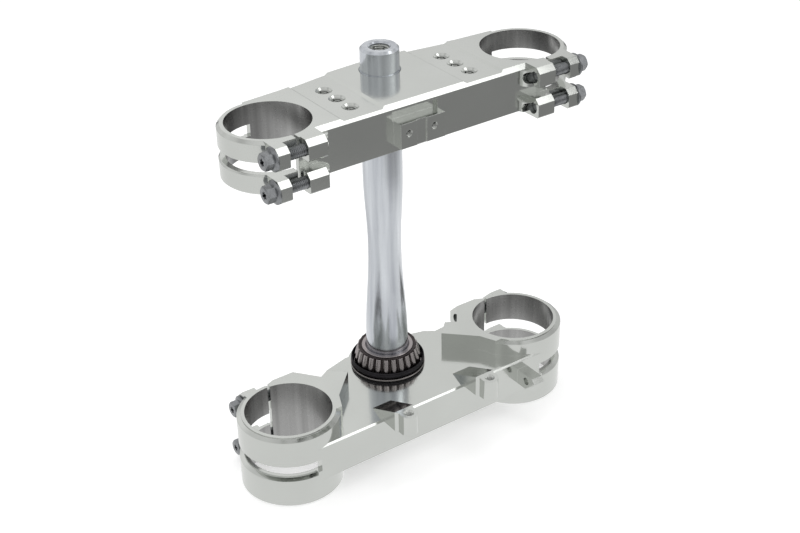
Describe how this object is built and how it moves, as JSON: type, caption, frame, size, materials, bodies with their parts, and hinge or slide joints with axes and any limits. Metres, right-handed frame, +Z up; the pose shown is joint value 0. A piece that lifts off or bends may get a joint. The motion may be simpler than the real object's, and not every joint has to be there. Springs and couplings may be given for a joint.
{
  "type": "motorcycle triple clamp",
  "caption": "Split-ring upper and lower fork clamps joined by a hollow waisted steering stem, with the inner half of a tapered roller bearing, dust seal and pinch bolts.",
  "frame": {"origin": "centre of the stem bore at the stem's lower end", "axes": "+Z up along the steering stem, -Y towards the front of the bike, X along the fork line"},
  "size_m": [0.2662, 0.1105, 0.2872],
  "materials": {
    "clamp_aluminium": "satin silver anodised",
    "stem_aluminium": "turned and polished",
    "bearing_steel": "ground",
    "cage_steel": "dark phosphated",
    "seal_rubber": "matte",
    "bolt_steel": "dark zinc plated"
  },
  "bodies": {
    "root": {"top_clamp": "clamp_aluminium", "bottom_clamp": "clamp_aluminium", "steering_stem": "stem_aluminium", "bearing_cone": "bearing_steel", "dust_seal": "seal_rubber", "seal_washer": "bearing_steel", "top_bolt_right_upper": "bolt_steel", "top_bolt_right_lower": "bolt_steel", "top_bolt_left_upper": "bolt_steel", "top_bolt_left_lower": "bolt_steel", "bottom_bolt_right_upper": "bolt_steel", "bottom_bolt_right_lower": "bolt_steel", "bottom_bolt_left_upper": "bolt_steel", "bottom_bolt_left_lower": "bolt_steel"},
    "cage": {"bearing_cage": "cage_steel"},
    "roller_body_01": {"roller_01": "bearing_steel"},
    "roller_body_02": {"roller_02": "bearing_steel"},
    "roller_body_03": {"roller_03": "bearing_steel"},
    "roller_body_04": {"roller_04": "bearing_steel"},
    "roller_body_05": {"roller_05": "bearing_steel"},
    "roller_body_06": {"roller_06": "bearing_steel"},
    "roller_body_07": {"roller_07": "bearing_steel"},
    "roller_body_08": {"roller_08": "bearing_steel"},
    "roller_body_09": {"roller_09": "bearing_steel"},
    "roller_body_10": {"roller_10": "bearing_steel"},
    "roller_body_11": {"roller_11": "bearing_steel"},
    "roller_body_12": {"roller_12": "bearing_steel"},
    "roller_body_13": {"roller_13": "bearing_steel"},
    "roller_body_14": {"roller_14": "bearing_steel"},
    "roller_body_15": {"roller_15": "bearing_steel"},
    "roller_body_16": {"roller_16": "bearing_steel"},
    "roller_body_17": {"roller_17": "bearing_steel"},
    "roller_body_18": {"roller_18": "bearing_steel"},
    "roller_body_19": {"roller_19": "bearing_steel"},
    "roller_body_20": {"roller_20": "bearing_steel"},
    "roller_body_21": {"roller_21": "bearing_steel"},
    "roller_body_22": {"roller_22": "bearing_steel"},
    "roller_body_23": {"roller_23": "bearing_steel"},
    "roller_body_24": {"roller_24": "bearing_steel"}
  },
  "joints": [
    {"name": "cage_orbit", "type": "hinge", "parent": "root", "child": "cage", "pos_m": [0, 0, 0.0274], "axis": [0, 0, 1], "continuous": true},
    {"name": "roller_spin_01", "type": "hinge", "parent": "cage", "child": "roller_body_01", "pos_m": [0.0208, 0.00274, 0.03768], "axis": [-0.2482, -0.0327, 0.9681], "continuous": true},
    {"name": "roller_spin_02", "type": "hinge", "parent": "cage", "child": "roller_body_02", "pos_m": [0.01938, 0.00803, 0.03768], "axis": [-0.2313, -0.0958, 0.9681], "continuous": true},
    {"name": "roller_spin_03", "type": "hinge", "parent": "cage", "child": "roller_body_03", "pos_m": [0.01664, 0.01277, 0.03768], "axis": [-0.1986, -0.1524, 0.9681], "continuous": true},
    {"name": "roller_spin_04", "type": "hinge", "parent": "cage", "child": "roller_body_04", "pos_m": [0.01277, 0.01664, 0.03768], "axis": [-0.1524, -0.1986, 0.9681], "continuous": true},
    {"name": "roller_spin_05", "type": "hinge", "parent": "cage", "child": "roller_body_05", "pos_m": [0.00803, 0.01938, 0.03768], "axis": [-0.0958, -0.2313, 0.9681], "continuous": true},
    {"name": "roller_spin_06", "type": "hinge", "parent": "cage", "child": "roller_body_06", "pos_m": [0.00274, 0.0208, 0.03768], "axis": [-0.0327, -0.2482, 0.9681], "continuous": true},
    {"name": "roller_spin_07", "type": "hinge", "parent": "cage", "child": "roller_body_07", "pos_m": [-0.00274, 0.0208, 0.03768], "axis": [0.0327, -0.2482, 0.9681], "continuous": true},
    {"name": "roller_spin_08", "type": "hinge", "parent": "cage", "child": "roller_body_08", "pos_m": [-0.00803, 0.01938, 0.03768], "axis": [0.0958, -0.2313, 0.9681], "continuous": true},
    {"name": "roller_spin_09", "type": "hinge", "parent": "cage", "child": "roller_body_09", "pos_m": [-0.01277, 0.01664, 0.03768], "axis": [0.1524, -0.1986, 0.9681], "continuous": true},
    {"name": "roller_spin_10", "type": "hinge", "parent": "cage", "child": "roller_body_10", "pos_m": [-0.01664, 0.01277, 0.03768], "axis": [0.1986, -0.1524, 0.9681], "continuous": true},
    {"name": "roller_spin_11", "type": "hinge", "parent": "cage", "child": "roller_body_11", "pos_m": [-0.01938, 0.00803, 0.03768], "axis": [0.2313, -0.0958, 0.9681], "continuous": true},
    {"name": "roller_spin_12", "type": "hinge", "parent": "cage", "child": "roller_body_12", "pos_m": [-0.0208, 0.00274, 0.03768], "axis": [0.2482, -0.0327, 0.9681], "continuous": true},
    {"name": "roller_spin_13", "type": "hinge", "parent": "cage", "child": "roller_body_13", "pos_m": [-0.0208, -0.00274, 0.03768], "axis": [0.2482, 0.0327, 0.9681], "continuous": true},
    {"name": "roller_spin_14", "type": "hinge", "parent": "cage", "child": "roller_body_14", "pos_m": [-0.01938, -0.00803, 0.03768], "axis": [0.2313, 0.0958, 0.9681], "continuous": true},
    {"name": "roller_spin_15", "type": "hinge", "parent": "cage", "child": "roller_body_15", "pos_m": [-0.01664, -0.01277, 0.03768], "axis": [0.1986, 0.1524, 0.9681], "continuous": true},
    {"name": "roller_spin_16", "type": "hinge", "parent": "cage", "child": "roller_body_16", "pos_m": [-0.01277, -0.01664, 0.03768], "axis": [0.1524, 0.1986, 0.9681], "continuous": true},
    {"name": "roller_spin_17", "type": "hinge", "parent": "cage", "child": "roller_body_17", "pos_m": [-0.00803, -0.01938, 0.03768], "axis": [0.0958, 0.2313, 0.9681], "continuous": true},
    {"name": "roller_spin_18", "type": "hinge", "parent": "cage", "child": "roller_body_18", "pos_m": [-0.00274, -0.0208, 0.03768], "axis": [0.0327, 0.2482, 0.9681], "continuous": true},
    {"name": "roller_spin_19", "type": "hinge", "parent": "cage", "child": "roller_body_19", "pos_m": [0.00274, -0.0208, 0.03768], "axis": [-0.0327, 0.2482, 0.9681], "continuous": true},
    {"name": "roller_spin_20", "type": "hinge", "parent": "cage", "child": "roller_body_20", "pos_m": [0.00803, -0.01938, 0.03768], "axis": [-0.0958, 0.2313, 0.9681], "continuous": true},
    {"name": "roller_spin_21", "type": "hinge", "parent": "cage", "child": "roller_body_21", "pos_m": [0.01277, -0.01664, 0.03768], "axis": [-0.1524, 0.1986, 0.9681], "continuous": true},
    {"name": "roller_spin_22", "type": "hinge", "parent": "cage", "child": "roller_body_22", "pos_m": [0.01664, -0.01277, 0.03768], "axis": [-0.1986, 0.1524, 0.9681], "continuous": true},
    {"name": "roller_spin_23", "type": "hinge", "parent": "cage", "child": "roller_body_23", "pos_m": [0.01938, -0.00803, 0.03768], "axis": [-0.2313, 0.0958, 0.9681], "continuous": true},
    {"name": "roller_spin_24", "type": "hinge", "parent": "cage", "child": "roller_body_24", "pos_m": [0.0208, -0.00274, 0.03768], "axis": [-0.2482, 0.0327, 0.9681], "continuous": true}
  ],
  "couplings": [
    {"joint": "roller_spin_01", "follows": "cage_orbit", "ratio": 8.2911},
    {"joint": "roller_spin_02", "follows": "cage_orbit", "ratio": 8.2911},
    {"joint": "roller_spin_03", "follows": "cage_orbit", "ratio": 8.2911},
    {"joint": "roller_spin_04", "follows": "cage_orbit", "ratio": 8.2911},
    {"joint": "roller_spin_05", "follows": "cage_orbit", "ratio": 8.2911},
    {"joint": "roller_spin_06", "follows": "cage_orbit", "ratio": 8.2911},
    {"joint": "roller_spin_07", "follows": "cage_orbit", "ratio": 8.2911},
    {"joint": "roller_spin_08", "follows": "cage_orbit", "ratio": 8.2911},
    {"joint": "roller_spin_09", "follows": "cage_orbit", "ratio": 8.2911},
    {"joint": "roller_spin_10", "follows": "cage_orbit", "ratio": 8.2911},
    {"joint": "roller_spin_11", "follows": "cage_orbit", "ratio": 8.2911},
    {"joint": "roller_spin_12", "follows": "cage_orbit", "ratio": 8.2911},
    {"joint": "roller_spin_13", "follows": "cage_orbit", "ratio": 8.2911},
    {"joint": "roller_spin_14", "follows": "cage_orbit", "ratio": 8.2911},
    {"joint": "roller_spin_15", "follows": "cage_orbit", "ratio": 8.2911},
    {"joint": "roller_spin_16", "follows": "cage_orbit", "ratio": 8.2911},
    {"joint": "roller_spin_17", "follows": "cage_orbit", "ratio": 8.2911},
    {"joint": "roller_spin_18", "follows": "cage_orbit", "ratio": 8.2911},
    {"joint": "roller_spin_19", "follows": "cage_orbit", "ratio": 8.2911},
    {"joint": "roller_spin_20", "follows": "cage_orbit", "ratio": 8.2911},
    {"joint": "roller_spin_21", "follows": "cage_orbit", "ratio": 8.2911},
    {"joint": "roller_spin_22", "follows": "cage_orbit", "ratio": 8.2911},
    {"joint": "roller_spin_23", "follows": "cage_orbit", "ratio": 8.2911},
    {"joint": "roller_spin_24", "follows": "cage_orbit", "ratio": 8.2911}
  ]
}
